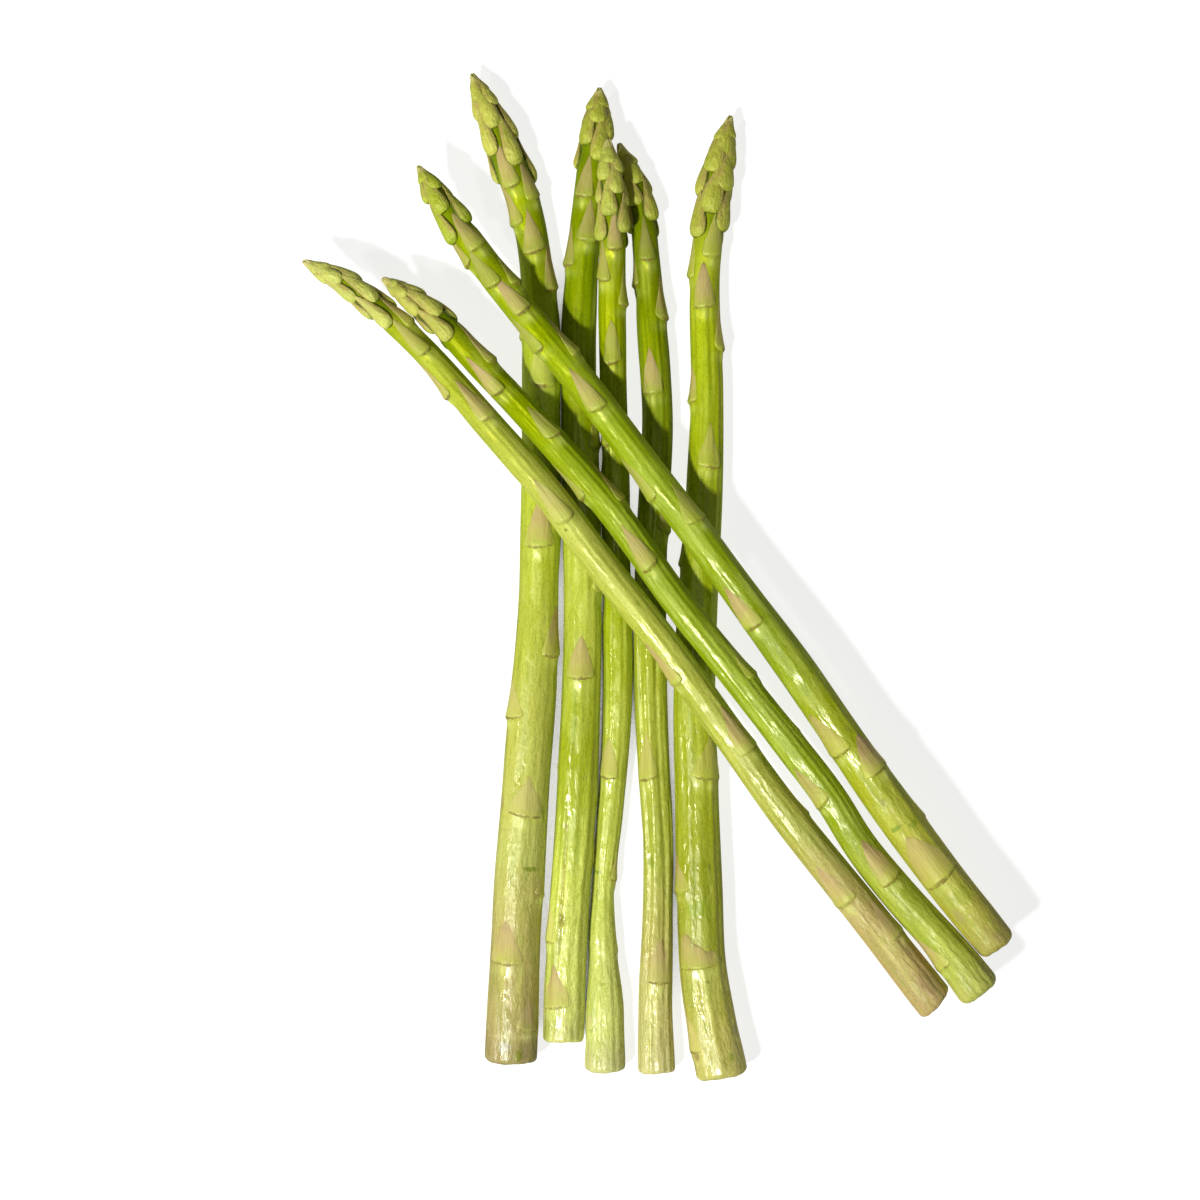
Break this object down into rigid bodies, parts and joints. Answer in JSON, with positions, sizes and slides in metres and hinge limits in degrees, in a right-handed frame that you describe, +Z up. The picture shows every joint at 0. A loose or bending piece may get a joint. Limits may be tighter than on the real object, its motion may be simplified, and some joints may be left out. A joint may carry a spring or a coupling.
{
  "type": "asparagus bundle",
  "caption": "Loose bundle of fresh green asparagus spears lying in two crossing layers, with pointed heads of overlapping bracts and leaf scales along the stems.",
  "frame": {"origin": "on the surface that the bundle lies on, under the middle of its bounding box", "axes": "+Y along the lower spears towards their heads, +X to their right, +Z up off the surface; the upper spears' heads point to the upper left, between +Y and -X"},
  "size_m": [0.1624, 0.233, 0.0196],
  "materials": {
    "pale_green_skin": "satin, moist",
    "green_skin": "satin, moist"
  },
  "bodies": {
    "root": {"spear_lower_1": "pale_green_skin", "spear_lower_2": "green_skin", "spear_lower_3": "pale_green_skin", "spear_lower_4": "pale_green_skin", "spear_lower_5": "pale_green_skin", "spear_upper_1": "pale_green_skin", "spear_upper_2": "green_skin", "spear_upper_3": "green_skin"}
  },
  "joints": []
}
